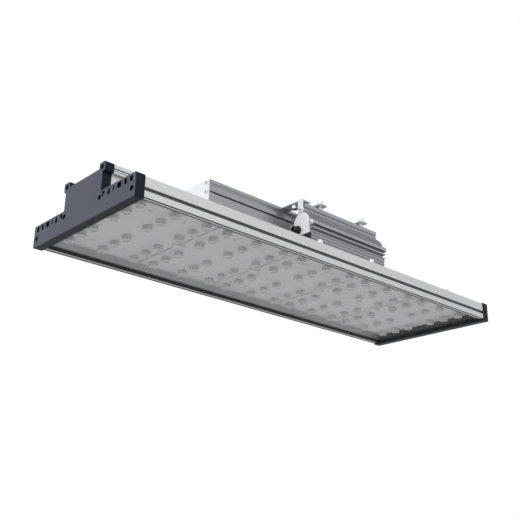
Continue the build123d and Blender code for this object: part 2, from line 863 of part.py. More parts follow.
with BuildPart() as driver_case:
    with BuildSketch(Plane.YZ.offset(driver_case_start)):
        add(arch(driver_half_width, driver_arch_rise, base_top))
        add(skirt())
        with Locations((driver_centre, (driver_top_port[1] + spring_level) / 2)):
            Rectangle(driver_neck_width, driver_top_port[1] - spring_level)
        with Locations(driver_top_port):
            Circle(port_radius + port_wall)
        with Locations((driver_centre, driver_top - driver_boss_height / 2)):
            RectangleRounded(driver_boss_width, driver_boss_height, driver_boss_round)
        with Locations((driver_centre, spring_level)):
            Rectangle(2 * (driver_half_width + driver_lug_reach), driver_lug_thick)
        with Locations((driver_centre, base_top + driver_shelf_height)):
            Rectangle(2 * (driver_half_width + driver_shelf_reach), driver_shelf_thick)
        for turn in driver_teeth:
            across = driver_half_width * math.cos(math.radians(turn))
            above = driver_arch_rise * math.sin(math.radians(turn))
            lean = math.degrees(
                math.atan2(above / driver_arch_rise**2, across / driver_half_width**2)
            )
            for side, tilt in ((1, lean), (-1, 180 - lean)):
                with Locations(
                    Location((driver_centre + side * across, spring_level + above), tilt)
                ):
                    Rectangle(2 * driver_tooth_reach, driver_tooth_thick)
        add(
            arch(driver_cavity_half_width, driver_arch_rise - driver_wall, base_top + driver_wall),
            mode=Mode.SUBTRACT,
        )
        with Locations(*driver_ports):
            Circle(port_radius, mode=Mode.SUBTRACT)
    extrude(amount=driver_case_end - driver_case_start)
    with Locations(*[(x, driver_centre, driver_top) for x in strap_places]):
        Cylinder(stud_radius + thread_clearance, 2 * stud_engagement, mode=Mode.SUBTRACT)
save(driver_case.part, "driver_case")


def driver_plate_outline():
    """Arched plate with a lug round each of its three screws."""
    with BuildSketch(mode=Mode.PRIVATE) as outline:
        add(
            arch(
                driver_half_width - driver_plate_inset,
                driver_arch_rise - driver_plate_inset,
                base_top + driver_plate_bottom,
            )
        )
        with Locations((driver_centre, (driver_top_port[1] + spring_level) / 2)):
            Rectangle(driver_tab_width, driver_top_port[1] - spring_level)
        with Locations((driver_centre, spring_level)):
            Rectangle(2 * side_port_reach, driver_tab_width)
        with Locations(*driver_ports):
            Circle(driver_lug_radius)
        with Locations(*driver_ports):
            Circle(port_radius + screw_hole_clearance, mode=Mode.SUBTRACT)
    return outline.sketch


with BuildPart() as driver_end_plate_near:
    with BuildSketch(Plane.YZ.offset(driver_start)):
        add(driver_plate_outline())
        with Locations((driver_gland_place, base_top + driver_gland_height)):
            Circle(gland_thread_radius + port_grip_clearance, mode=Mode.SUBTRACT)
    extrude(amount=driver_plate_thick)
save(driver_end_plate_near.part, "driver_end_plate_near")

with BuildPart() as driver_end_plate_far:
    with BuildSketch(Plane.YZ.offset(driver_case_end)):
        add(driver_plate_outline())
    extrude(amount=driver_plate_thick)
save(driver_end_plate_far.part, "driver_end_plate_far")

# Rubber blocks that close the case's ends below the plates
with BuildPart() as driver_end_seals:
    for start in (driver_start, driver_case_end):
        with Locations(
            (
                start + driver_plate_thick / 2,
                driver_centre,
                base_top + driver_plate_bottom / 2,
            )
        ):
            Box(driver_plate_thick, 2 * driver_half_width, driver_plate_bottom)
save(driver_end_seals.part, "driver_end_seals")

driver_gland_face = Plane(
    origin=(driver_start, driver_gland_place, base_top + driver_gland_height),
    x_dir=(0, 1, 0),
    z_dir=(1, 0, 0),
)
save(gland(driver_gland_face, -1), "driver_gland")

circuit(
    driver_case_start,
    driver_case_end,
    driver_cavity_half_width,
    driver_centre,
    base_top + driver_wall,
    2 * (driver_cavity_half_width - driver_core_gap),
    "driver",
)

# The screws of the driver's end plates; the near top one also holds the tie bracket
with BuildPart() as driver_plate_screws:
    for face, inward in ((driver_start, 1), (driver_end, -1)):
        for port in driver_ports:
            seat = strap_thick if inward == 1 and port == driver_top_port else 0
            with BuildSketch(Plane.YZ.offset(face - inward * seat)):
                with Locations(port):
                    Circle(plate_head_radius)
            extrude(amount=-inward * plate_head_height)
            with BuildSketch(Plane.YZ.offset(face - inward * seat)):
                with Locations(port):
                    Circle(port_radius - port_grip_clearance)
            extrude(amount=inward * (seat + driver_plate_thick + plate_shank_length))
save(driver_plate_screws.part, "driver_plate_screws")


# Plate under the driver, bolted to square nuts that lie between the fins
base_start = driver_start
base_end = driver_end + base_overrun
base_bolt_points = [
    (driver_start + base_screw_inset + index * base_screw_spacing, -place)
    for index in range(2)
    for place in (base_bolt_outer, base_bolt_inner)
]

with BuildPart() as driver_base:
    with BuildSketch(Plane.XY.offset(fin_top)):
        with Locations(((base_start + base_end) / 2, -(base_outer_edge + base_inner_edge) / 2)):
            RectangleRounded(base_end - base_start, base_outer_edge - base_inner_edge, base_round)
        with Locations(*base_bolt_points):
            Circle(bolt_shank_radius + screw_hole_clearance, mode=Mode.SUBTRACT)
    extrude(amount=base_thick)
save(driver_base.part, "driver_base")

with BuildPart() as base_washers:
    with BuildSketch(Plane.XY.offset(base_top)):
        with Locations(*base_bolt_points):
            Circle(base_washer_radius)
            Circle(bolt_shank_radius + screw_hole_clearance, mode=Mode.SUBTRACT)
    extrude(amount=base_washer_thick)
save(base_washers.part, "base_washers")

with BuildPart() as base_bolts:
    with BuildSketch(Plane.XY.offset(base_top + base_washer_thick)):
        with Locations(*base_bolt_points):
            RegularPolygon(bolt_af / 2, 6, major_radius=False)
    extrude(amount=bolt_head_height)
    with BuildSketch(Plane.XY.offset(fin_top - nut_thick)):
        with Locations(*base_bolt_points):
            Circle(bolt_shank_radius)
    extrude(amount=nut_thick + base_thick + base_washer_thick)
save(base_bolts.part, "base_bolts")

with BuildPart() as base_nuts:
    with BuildSketch(Plane.XY.offset(fin_top - nut_thick)):
        with Locations(*base_bolt_points):
            Rectangle(nut_side, nut_side)
            Circle(bolt_shank_radius + thread_clearance, mode=Mode.SUBTRACT)
    extrude(amount=nut_thick)
save(base_nuts.part, "base_nuts")


# Straps from the driver's studs, bent down to the control gear's roof and hooked over its
# far side
strap_near_end = driver_centre - strap_overhang
strap_far_end = gear_half_width + strap_thick
strap_top = gear_top + strap_thick
shoulder_level = gear_top + strap_raise
bend_foot = -gear_half_width - strap_bend_gap
bend_head = bend_foot - strap_bend_length

for name, place in zip(("strap_near", "strap_far"), strap_places):
    with BuildPart() as strap:
        with BuildSketch(Plane.YZ.offset(place - strap_width / 2)):
            with BuildLine():
                Polyline(
                    (strap_near_end, shoulder_level),
                    (bend_head, shoulder_level),
                    (bend_foot, gear_top),
                    (gear_half_width, gear_top),
                    (gear_half_width, gear_top - strap_lip),
                    (strap_far_end, gear_top - strap_lip),
                    (strap_far_end, strap_top),
                    (bend_foot, strap_top),
                    (bend_head, shoulder_level + strap_thick),
                    (strap_near_end, shoulder_level + strap_thick),
                    close=True,
                )
            make_face()
        extrude(amount=strap_width)
        fillet(strap.faces().sort_by(Axis.Y)[0].edges().filter_by(Axis.Z), strap_round)
        with Locations((place, driver_centre, shoulder_level)):
            Cylinder(
                stud_thread_radius + screw_hole_clearance,
                3 * strap_thick,
                mode=Mode.SUBTRACT,
            )
        with Locations((place, strap_screw_place, gear_top)):
            Cylinder(
                bolt_shank_radius + screw_hole_clearance,
                3 * strap_thick,
                mode=Mode.SUBTRACT,
            )
    save(strap.part, name)

stud_points = [(x, driver_centre) for x in strap_places]
washer_level = shoulder_level + strap_thick
stud_nut_level = washer_level + strap_washer_thick
stud_top = stud_nut_level + strap_nut_height + stud_tip

with BuildPart() as strap_studs:
    with BuildSketch(Plane.XY.offset(driver_top - stud_engagement)):
        with Locations(*stud_points):
            Circle(stud_radius)
    extrude(amount=shoulder_level - driver_top + stud_engagement)
    with BuildSketch(Plane.XY.offset(shoulder_level)):
        with Locations(*stud_points):
            Circle(stud_thread_radius)
    extrude(amount=stud_top - shoulder_level)
    chamfer(strap_studs.faces().group_by(Axis.Z)[-1].edges(), stud_chamfer)
save(strap_studs.part, "strap_studs")

with BuildPart() as strap_washers:
    with BuildSketch(Plane.XY.offset(washer_level)):
        with Locations(*stud_points):
            Circle(strap_washer_radius)
            Circle(stud_thread_radius + screw_hole_clearance, mode=Mode.SUBTRACT)
    extrude(amount=strap_washer_thick)
save(strap_washers.part, "strap_washers")

with BuildPart() as strap_nuts:
    with BuildSketch(Plane.XY.offset(stud_nut_level)):
        with Locations(*stud_points):
            RegularPolygon(strap_nut_af / 2, 6, major_radius=False)
            Circle(stud_thread_radius + thread_clearance, mode=Mode.SUBTRACT)
    extrude(amount=strap_nut_height)
save(strap_nuts.part, "strap_nuts")

# Screws through the straps and the tie bracket into the control gear's roof
with BuildPart() as roof_screws:
    with BuildSketch(Plane.XY.offset(strap_top)):
        with Locations(*roof_screw_points):
            RegularPolygon(bolt_af / 2, 6, major_radius=False)
    extrude(amount=bolt_head_height)
    with BuildSketch(Plane.XY.offset(strap_top)):
        with Locations(*roof_screw_points):
            Circle(bolt_shank_radius)
    extrude(amount=-(strap_thick + gear_wall_level))
save(roof_screws.part, "roof_screws")

# Tie bracket: a tab screwed to the near end plate's top lug, folded into a strip that runs
# over to the control gear's roof
tie_near_end = driver_centre - tie_tab_half_width
tie_far_end = -gear_half_width + tie_strip_reach
tie_tab_bottom = driver_top_port[1] - tie_tab_drop
earth_point = (driver_start + earth_bolt_inset, driver_centre + earth_bolt_shift)

with BuildPart() as tie_bracket:
    with BuildSketch(Plane.YZ.offset(tie_near_face)):
        with Locations((driver_centre, (tie_tab_bottom + strap_top) / 2)):
            Rectangle(2 * tie_tab_half_width, strap_top - tie_tab_bottom)
        with Locations(driver_top_port):
            Circle(port_radius + screw_hole_clearance, mode=Mode.SUBTRACT)
    extrude(amount=strap_thick)
    with BuildSketch(Plane.XY.offset(gear_top)):
        with Locations((tie_middle, (tie_near_end + tie_far_end) / 2)):
            Rectangle(tie_strip_width, tie_far_end - tie_near_end)
        with Locations(tie_screw_point):
            Circle(bolt_shank_radius + screw_hole_clearance, mode=Mode.SUBTRACT)
        with Locations(earth_point):
            Circle(earth_shank_radius + thread_clearance, mode=Mode.SUBTRACT)
    extrude(amount=strap_thick)
save(tie_bracket.part, "tie_bracket")

# Earth bolt and its washer, screwed up into the tie bracket's strip
with BuildPart() as earth_washer:
    with BuildSketch(Plane.XY.offset(gear_top)):
        with Locations(earth_point):
            Circle(earth_washer_radius)
            Circle(earth_shank_radius + screw_hole_clearance, mode=Mode.SUBTRACT)
    extrude(amount=-earth_washer_thick)
save(earth_washer.part, "earth_washer")

with BuildPart() as earth_bolt:
    with BuildSketch(Plane.XY.offset(gear_top - earth_washer_thick)):
        with Locations(earth_point):
            RegularPolygon(earth_af / 2, 6, major_radius=False)
    extrude(amount=-earth_head_height)
    with BuildSketch(Plane.XY.offset(gear_top - earth_washer_thick)):
        with Locations(earth_point):
            Circle(earth_shank_radius)
    extrude(amount=earth_washer_thick + strap_thick + earth_shank_tip)
save(earth_bolt.part, "earth_bolt")
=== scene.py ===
"""Looks of a long aluminium LED luminaire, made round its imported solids, in metres.

The sections follow the luminaire as it is put together: body, caps, window, boards and
lenses, then the control gear, the driver and what ties them to the rails.
"""
import math

import bmesh
import bpy
from mathutils import Matrix, Vector


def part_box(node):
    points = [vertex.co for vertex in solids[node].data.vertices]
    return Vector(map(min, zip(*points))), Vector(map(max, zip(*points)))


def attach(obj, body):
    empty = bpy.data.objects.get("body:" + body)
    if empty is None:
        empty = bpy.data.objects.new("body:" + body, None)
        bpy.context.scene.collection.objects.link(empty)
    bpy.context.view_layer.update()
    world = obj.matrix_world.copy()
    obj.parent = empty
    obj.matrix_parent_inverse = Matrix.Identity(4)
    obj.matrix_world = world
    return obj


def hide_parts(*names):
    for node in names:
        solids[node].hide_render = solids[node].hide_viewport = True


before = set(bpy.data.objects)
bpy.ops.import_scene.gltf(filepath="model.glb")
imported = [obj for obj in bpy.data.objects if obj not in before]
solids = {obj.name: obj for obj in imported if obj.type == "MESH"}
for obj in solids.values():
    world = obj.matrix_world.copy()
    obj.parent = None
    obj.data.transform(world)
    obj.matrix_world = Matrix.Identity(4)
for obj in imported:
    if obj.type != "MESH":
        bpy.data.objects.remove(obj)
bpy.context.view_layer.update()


# Body: one length of aluminium with the fins, the wiring channel and the rails on it. The die
# leaves faint lines along it, and the satin anodising leaves it slightly uneven in tone.
# Painted shade darkens the long groove in each side wall, with a painted black shadow at its
# lower edge.
class Wire:
    """One socket of a finish. Arithmetic on it adds Math nodes."""

    def __init__(self, finish, socket):
        self.finish = finish
        self.socket = socket

    def maths(self, operation, *values):
        return self.finish.node("Math", {"operation": operation}, dict(enumerate(values)))

    def __add__(self, other):
        return self.maths("ADD", self, other)

    def __sub__(self, other):
        return self.maths("SUBTRACT", self, other)

    def __rsub__(self, other):
        return self.maths("SUBTRACT", other, self)

    def __mul__(self, other):
        return self.maths("MULTIPLY", self, other)

    def __truediv__(self, other):
        return self.maths("DIVIDE", self, other)

    def __rtruediv__(self, other):
        return self.maths("DIVIDE", other, self)

    def __gt__(self, other):
        return self.maths("GREATER_THAN", self, other)

    def __lt__(self, other):
        return self.maths("LESS_THAN", self, other)

    def __abs__(self):
        return self.maths("ABSOLUTE", self)

    __radd__ = __add__
    __rmul__ = __mul__


class Finish:
    """The nodes of one finish, built round its surface or background node."""

    def __init__(self, holder):
        holder.use_nodes = True
        self.holder = holder
        self.tree = holder.node_tree
        self.surface = next(
            node for node in self.tree.nodes if node.type in ("BSDF_PRINCIPLED", "BACKGROUND")
        )

    def node(self, kind, settings, inputs, output=0):
        """Adds a node, sets it, then fills its sockets with values or wires."""
        made = self.tree.nodes.new("ShaderNode" + kind)
        for name, value in settings.items():
            setattr(made, name, value)
        self.fill(made, inputs)
        return Wire(self, made.outputs[output])

    def fill(self, node, inputs):
        for name, value in inputs.items():
            if isinstance(value, Wire):
                self.tree.links.new(value.socket, node.inputs[name])
            else:
                node.inputs[name].default_value = value

    def coat(self, **inputs):
        """Fills the surface's own sockets; Base_Color stands for Base Color."""
        sockets = {name.replace("_", " "): value for name, value in inputs.items()}
        self.fill(self.surface, sockets)
        return self.holder

    def place(self, scale):
        """The piece's own coordinates, stretched along each axis."""
        own = self.node("TexCoord", {}, {}, "Object")
        return self.node("Mapping", {}, {"Vector": own, "Scale": scale})

    def noise(self, scale, detail=3.0, roughness=0.55):
        """Cloudy noise, with as many waves to the metre along each axis as scale says."""
        inputs = {
            "Vector": self.place(scale),
            "Scale": 1.0,
            "Detail": detail,
            "Roughness": roughness,
        }
        return self.node("TexNoise", {}, inputs)

    def along(self, axis, source="Object"):
        """One coordinate of the piece, or of a direction: 0 is X, 1 is Y and 2 is Z."""
        own = self.node("TexCoord", {}, {}, source)
        return self.node("SeparateXYZ", {}, {"Vector": own}, axis)

    def mix(self, factor, first, second):
        """Mixes two colours, which a Mix node takes at sockets 6 and 7 and gives at 2."""
        return self.node("Mix", {"data_type": "RGBA"}, {0: factor, 6: first, 7: second}, 2)

    def shades(self, factor, dark, light):
        """A tone between two colours; factor runs from 0 to 1."""
        return self.mix(factor, (*dark, 1), (*light, 1))

    def bump(self, height, distance, strength):
        inputs = {"Strength": strength, "Distance": distance, "Height": height}
        return self.node("Bump", {}, inputs)


def extruded(name, dark, light, roughness):
    """Satin anodised aluminium as it leaves the die, with lines along X."""
    finish = Finish(bpy.data.materials.new(name))
    lines = finish.noise(scale=(6, 1500, 1500), detail=4.0, roughness=0.6)
    cloud = finish.noise(scale=(9, 28, 28))
    return finish.coat(
        Base_Color=finish.shades(lines * 0.35 + cloud * 0.65, dark, light),
        Metallic=0.85,
        Roughness=lines * 0.14 + cloud * 0.06 + (roughness - 0.1),
        Normal=finish.bump(lines, distance=0.00006, strength=0.5),
    )


def dressed(finish, *nodes):
    """Gives the solids their finish."""
    for node in nodes:
        solids[node].data.materials.clear()
        solids[node].data.materials.append(finish)


groove_low = 0.0106
groove_high = 0.0156
groove_shadow_top = 0.0131
groove_depth = 0.0024
wall_skin = 0.00008
groove_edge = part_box("housing_extrusion")[1][1] - wall_skin
groove_floor = groove_edge - groove_depth
body_finish = extruded(
    "body_anodised", dark=(0.62, 0.625, 0.63), light=(0.71, 0.715, 0.72), roughness=0.42
)
body = Finish(body_finish)
across, level = abs(body.along(1)), body.along(2)
within_depth = (across > groove_floor) * (groove_edge > across)
within_height = (level > groove_low) * (groove_high > level)
satin = Wire(body, body.surface.inputs["Base Color"].links[0].from_socket)
# Painted shade in the side grooves: dark grey over the upper part, and a painted black shadow
# line below.
groove_painted_shade = body.shades(level > groove_shadow_top, (0.012, 0.012, 0.013), (0.2, 0.205, 0.21))
body.coat(Base_Color=body.mix(within_depth * within_height, satin, groove_painted_shade))
dressed(body_finish, "housing_extrusion")


# End caps: dark blue-grey mouldings, eased along every edge as a mould leaves them. The outer
# faces have a spark-eroded grain, and a painted highlight makes them and their eased rims
# several times paler than the smooth sides.
def settle(name, shape, finish, slot, *nodes):
    """Makes a shape into a finished piece that stands for the nodes named."""
    mesh = bpy.data.meshes.new(name)
    shape.to_mesh(mesh)
    shape.free()
    mesh.materials.append(finish)
    mesh.polygons.foreach_set("use_smooth", [True] * len(mesh.polygons))
    mesh.set_sharp_from_angle(angle=math.radians(50))
    piece = bpy.data.objects.new(name, mesh)
    bpy.context.collection.objects.link(piece)
    weighted = piece.modifiers.new("flat_faces", "WEIGHTED_NORMAL")
    weighted.keep_sharp = True
    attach(piece, "root")
    if nodes:
        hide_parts(*nodes)


def merged(node):
    """A copy of a solid's mesh with its loose triangles joined into flat faces."""
    shape = bmesh.new()
    shape.from_mesh(solids[node].data)
    bmesh.ops.remove_doubles(shape, verts=shape.verts, dist=2e-6)
    bmesh.ops.dissolve_limit(
        shape, angle_limit=math.radians(0.5), verts=shape.verts, edges=shape.edges
    )
    return shape


def settle_eased(name, node, width, finish, slot, steps=2):
    """Stands a solid's copy in its place, with its sharp edges rounded by a width."""
    shape = merged(node)
    edges = [
        edge
        for edge in shape.edges
        if len(edge.link_faces) == 2 and edge.calc_face_angle() > math.radians(40)
    ]
    bmesh.ops.bevel(
        shape,
        geom=edges,
        offset=width,
        segments=steps,
        profile=0.5,
        affect="EDGES",
        material=-1,
        clamp_overlap=True,
    )
    settle(name, shape, finish, slot, node)


grain_depth = 0.0004
cap_edge = 0.0003
cap_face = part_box("end_cap_far")[1][0]
cap_moulding = Finish(bpy.data.materials.new("cap_moulding"))
grain = cap_moulding.noise(scale=(1400, 1400, 1400), detail=2.0)
cap_cloud = cap_moulding.noise(scale=(22, 22, 22), detail=4.0)
cap_smooth = cap_moulding.shades(cap_cloud, (0.007, 0.010, 0.018), (0.010, 0.014, 0.025))
# The outer faces' tone: the grain, and a painted highlight that makes them far paler than the
# sides.
cap_grain_and_painted_light = cap_moulding.shades(
    cap_cloud * 0.6 + grain * 0.4, (0.068, 0.074, 0.1), (0.094, 0.102, 0.136)
)
cap_outside = abs(cap_moulding.along(0)) > cap_face - grain_depth
cap_finish = cap_moulding.coat(
    Base_Color=cap_moulding.mix(cap_outside, cap_smooth, cap_grain_and_painted_light),
    Roughness=cap_cloud * 0.12 + 0.38,
    Specular_IOR_Level=0.12,
    Normal=cap_moulding.bump(grain, distance=0.00005, strength=0.6),
)
for end in ("near", "far"):
    settle_eased(
        f"cap_{end}_moulding", f"end_cap_{end}", cap_edge, cap_finish, "cap_plastic"
    )


# Rubber: the sheets between the caps and the body, the channel seals along the glass and the
# blocks under the driver's plates. It is matt black, with the bloom that rubber gets.
def moulded(name, dark, light, roughness):
    """Plastic or rubber with a mould's fine grain and a little wear in its tone."""
    finish = Finish(bpy.data.materials.new(name))
    pores = finish.noise(scale=(1400, 1400, 1400), detail=2.0)
    cloud = finish.noise(scale=(22, 22, 22), detail=4.0)
    return finish.coat(
        Base_Color=finish.shades(cloud, dark, light),
        Roughness=cloud * 0.12 + (roughness - 0.06),
        Normal=finish.bump(pores, distance=0.00005, strength=0.6),
    )


rubber_finish = moulded(
    "black_rubber", dark=(0.006, 0.006, 0.007), light=(0.014, 0.014, 0.015), roughness=0.7
)
dressed(rubber_finish, "end_gasket_near", "end_gasket_far", "driver_end_seals")
seal_low, seal_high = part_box("window_seal_right")
glass_low, glass_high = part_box("window_glass")
seal_reach, seal_outer, seal_top = seal_high[0], seal_high[1], seal_high[2]
seal_bottom = seal_low[2]
glass_edge, glass_bottom, glass_top = glass_high[1], glass_low[2], glass_high[2]
seal_lip = 0.1056
lip_outer = 0.1091
lip_swell = 0.0006
seal_grip = glass_edge - 0.0012
for side, name in ((-1, "left"), (1, "right")):
    seal = bmesh.new()
    outline = [
        (seal_outer, seal_bottom),
        (lip_outer, seal_bottom),
        (lip_outer, seal_bottom - lip_swell),
        (seal_lip + lip_swell, seal_bottom - lip_swell),
        (seal_lip, seal_bottom),
        (seal_lip, glass_bottom),
        (glass_edge, glass_bottom),
        (glass_edge, glass_top),
        (seal_grip, glass_top),
        (seal_grip, seal_top),
        (seal_outer, seal_top),
    ]
    end = seal.faces.new([seal.verts.new((-seal_reach, side * y, z)) for y, z in outline])
    run = bmesh.ops.extrude_face_region(seal, geom=[end])["geom"]
    moved = [item for item in run if isinstance(item, bmesh.types.BMVert)]
    bmesh.ops.translate(seal, verts=moved, vec=(2 * seal_reach, 0, 0))
    bmesh.ops.recalc_face_normals(seal, faces=seal.faces)
    settle(f"glass_seal_{name}", seal, rubber_finish, "black_rubber", f"window_seal_{name}")


# Shadow strips: a thin strip of black rubber finish under each lip of the body, a painted
# shadow line at its outer edge, with a line of bare metal left between it and the glass's seal.
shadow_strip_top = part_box("housing_extrusion")[0][2]
shadow_strip_depth = 0.0008
shadow_strip_round = 0.0003
shadow_strip_inner, shadow_strip_outer = 0.1134, 0.1152
shadow_strip_middle = shadow_strip_top - shadow_strip_depth / 2
shadow_strips = bmesh.new()
for side in (-1, 1):
    corners = bmesh.ops.create_cube(shadow_strips, size=1)["verts"]
    size = (2 * seal_reach, shadow_strip_outer - shadow_strip_inner, shadow_strip_depth)
    bmesh.ops.scale(shadow_strips, verts=corners, vec=size)
    centre = (0, side * (shadow_strip_inner + shadow_strip_outer) / 2, shadow_strip_middle)
    bmesh.ops.translate(shadow_strips, verts=corners, vec=centre)
below = [
    edge for edge in shadow_strips.edges if all(vert.co.z < shadow_strip_middle for vert in edge.verts)
]
bmesh.ops.bevel(
    shadow_strips, geom=below, offset=shadow_strip_round, segments=2, profile=0.5, affect="EDGES", material=-1
)
settle("painted_shadow_strips", shadow_strips, rubber_finish, "black_rubber")


# Cap screws: pan-head self-tapping screws with a cross recess, in black oxide, sunk in the
# caps' counterbores.
def boxes_of(node):
    """Lowest and highest corner of each separate solid in a node."""
    shape = bmesh.new()
    shape.from_mesh(solids[node].data)
    bmesh.ops.remove_doubles(shape, verts=shape.verts, dist=2e-6)
    found = []
    seen = set()
    for first in shape.verts:
        if first in seen:
            continue
        seen.add(first)
        queue = [first]
        corners = []
        while queue:
            vert = queue.pop()
            corners.append(tuple(vert.co))
            for edge in vert.link_edges:
                other = edge.other_vert(vert)
                if other not in seen:
                    seen.add(other)
                    queue.append(other)
        found.append((Vector(map(min, zip(*corners))), Vector(map(max, zip(*corners)))))
    shape.free()
    return found


def outer_ends(node, axis, side=0):
    """Where each solid of a node ends along an axis, as places that face out of it. With no
    side given, a solid faces away from the node's middle."""
    low_box, high_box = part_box(node)
    middle = (low_box[axis] + high_box[axis]) / 2
    places = []
    for low, high in boxes_of(node):
        centre = (low + high) / 2
        way = Vector((0, 0, 0))
        way[axis] = side or math.copysign(1, centre[axis] - middle)
        turn = Vector((0, 0, 1)).rotation_difference(way).to_matrix().to_4x4()
        places.append(Matrix.Translation(centre + way * (high[axis] - low[axis]) / 2) @ turn)
    return places


def repeated(unit, places):
    """One shape that holds a copy of a unit at each place."""
    mesh = bpy.data.meshes.new("unit")
    unit.to_mesh(mesh)
    unit.free()
    shape = bmesh.new()
    for place in places:
        start = len(shape.verts)
        shape.from_mesh(mesh)
        shape.verts.ensure_lookup_table()
        bmesh.ops.transform(shape, matrix=place, verts=shape.verts[start:])
    bpy.data.meshes.remove(mesh)
    return shape


def plated(name, dark, light, metallic, roughness):
    """Plated steel: cloudy tone, fine scratches and a lively roughness."""
    finish = Finish(bpy.data.materials.new(name))
    cloud = finish.noise(scale=(160, 160, 160), detail=4.0)
    scratch = finish.noise(scale=(2400, 240, 900), roughness=0.65)
    return finish.coat(
        Base_Color=finish.shades(cloud * 0.7 + scratch * 0.3, dark, light),
        Metallic=metallic,
        Roughness=scratch * 0.2 + cloud * 0.1 + (roughness - 0.15),
        Normal=finish.bump(scratch, distance=0.00003, strength=0.5),
    )


def cross_screw(radius, height, shank, length):
    """A pan-head screw with a cross recess. Its head's top is at the origin, facing +Z."""
    cells = 7
    crown = 0.55 * height
    recess_depth = 0.6 * height
    recess_taper = 0.8
    unit = bmesh.new()
    bmesh.ops.create_grid(unit, x_segments=cells, y_segments=cells, size=1)
    cross = []
    for face in unit.faces:
        inward, outward = sorted(abs(value) for value in face.calc_center_median().xy)
        if inward < 1 / cells and outward < 1 - 2 / cells:
            cross.append(face)
    rim_edges = [edge for edge in unit.edges if edge.is_boundary]
    for vert in unit.verts:
        reach = max(abs(vert.co.x), abs(vert.co.y))
        flat = vert.co.xy.normalized() * reach * radius
        vert.co = (flat.x, flat.y, -crown * reach**4)
    recess = bmesh.ops.extrude_face_region(unit, geom=cross)["geom"]
    sunk = [item for item in recess if isinstance(item, bmesh.types.BMVert)]
    bmesh.ops.translate(unit, verts=sunk, vec=(0, 0, -recess_depth))
    bmesh.ops.scale(unit, verts=sunk, vec=(recess_taper, recess_taper, 1))
    bmesh.ops.delete(unit, geom=cross, context="FACES")
    skirt = bmesh.ops.extrude_edge_only(unit, edges=rim_edges)["geom"]
    for item in skirt:
        if isinstance(item, bmesh.types.BMVert):
            item.co.z = -height
    bmesh.ops.edgeloop_fill(unit, edges=[edge for edge in unit.edges if edge.is_boundary])
    bmesh.ops.create_cone(
        unit,
        cap_ends=True,
        segments=12,
        radius1=shank,
        radius2=shank,
        depth=length,
        matrix=Matrix.Translation((0, 0, -height - length / 2)),
    )
    bmesh.ops.recalc_face_normals(unit, faces=unit.faces)
    return unit


oxide_finish = plated(
    "black_oxide",
    dark=(0.012, 0.012, 0.014),
    light=(0.03, 0.03, 0.034),
    metallic=0.5,
    roughness=0.5,
)
cap_screw = cross_screw(radius=0.0031, height=0.0024, shank=0.00165, length=0.016)
settle(
    "cap_screws_sunk",
    repeated(cap_screw, outer_ends("cap_screws", axis=0)),
    oxide_finish,
    "black_steel",
    "cap_screws",
)

# Window: toughened float glass. It is clear, with the faint grey of its thickness and a
# little dust haze. The seals hold it in the body's slots.
glass = Finish(bpy.data.materials.new("window_glass"))
haze = glass.noise(scale=(14, 14, 14))
glass_finish = glass.coat(
    Base_Color=glass.shades(haze, (0.3, 0.3, 0.305), (0.36, 0.36, 0.365)),
    Roughness=haze * 0.04 + 0.03,
    Alpha=haze * 0.03 + 0.09,
)
dressed(glass_finish, "window_glass")

# LED boards: aluminium-cored boards under white solder mask, which has a little orange peel.
# They lie end to end under the body's web, with a dark line where two meet.
board_pitch = 0.1339
seam_half = 0.0008
seam_tone = (0.09, 0.085, 0.08, 1)
mask = Finish(bpy.data.materials.new("white_solder_mask"))
peel = mask.noise(scale=(700, 700, 700))
wash = mask.noise(scale=(18, 18, 18))
steps_along = mask.along(0) / board_pitch
share_along = steps_along - steps_along.maths("FLOOR", steps_along)
seam = abs(share_along - 0.5) < seam_half / board_pitch
mask_white = mask.shades(wash, (0.74, 0.725, 0.745), (0.82, 0.805, 0.825))
mask_finish = mask.coat(
    Base_Color=mask.mix(seam, mask_white, seam_tone),
    Roughness=wash * 0.1 + 0.4,
    Normal=mask.bump(peel, distance=0.00003, strength=0.4),
)
dressed(mask_finish, *[f"led_board_{number}" for number in range(1, 6)])

# LED packages: a white ceramic body soldered to the board, its edges eased, with a round
# phosphor face that stands a little proud of it.
package_edge = 0.0002
face_radius = 0.0014
face_rise = 0.00012
ceramic_finish = moulded(
    "led_ceramic", dark=(0.74, 0.73, 0.7), light=(0.82, 0.81, 0.78), roughness=0.4
)
settle_eased("led_bodies", "led_chips", package_edge, ceramic_finish, "led_package", steps=1)
phosphor = Finish(bpy.data.materials.new("led_phosphor"))
speckle = phosphor.noise(scale=(900, 900, 900), detail=2.0)
phosphor_finish = phosphor.coat(
    Base_Color=phosphor.shades(speckle, (0.72, 0.56, 0.16), (0.84, 0.7, 0.28)),
    Roughness=speckle * 0.2 + 0.4,
    Normal=phosphor.bump(speckle, distance=0.00003, strength=0.5),
)
phosphor_face = bmesh.new()
bmesh.ops.create_cone(
    phosphor_face,
    cap_ends=True,
    segments=16,
    radius1=face_radius,
    radius2=face_radius * 0.8,
    depth=2 * face_rise,
)
settle(
    "led_faces",
    repeated(phosphor_face, outer_ends("led_chips", axis=2, side=-1)),
    phosphor_finish,
    "led_package",
)


# Lenses: clear acrylic pucks that flare towards a flat rim, with a dished face and a pocket
# over the LED, glued down on the boards. The rim catches the light and looks paler.
def turned(profile, steps):
    """Spins a profile of (radius, height) about Z into a closed shape."""
    shape = bmesh.new()
    verts = [shape.verts.new((r, 0, h)) for r, h in profile]
    edges = [shape.edges.new(pair) for pair in zip(verts, verts[1:])]
    bmesh.ops.spin(
        shape,
        geom=verts + edges,
        cent=(0, 0, 0),
        axis=(0, 0, 1),
        angle=math.tau,
        steps=steps,
        use_merge=True,
        use_duplicate=False,
    )
    bmesh.ops.remove_doubles(shape, verts=shape.verts, dist=1e-6)
    bmesh.ops.recalc_face_normals(shape, faces=shape.faces)
    return shape


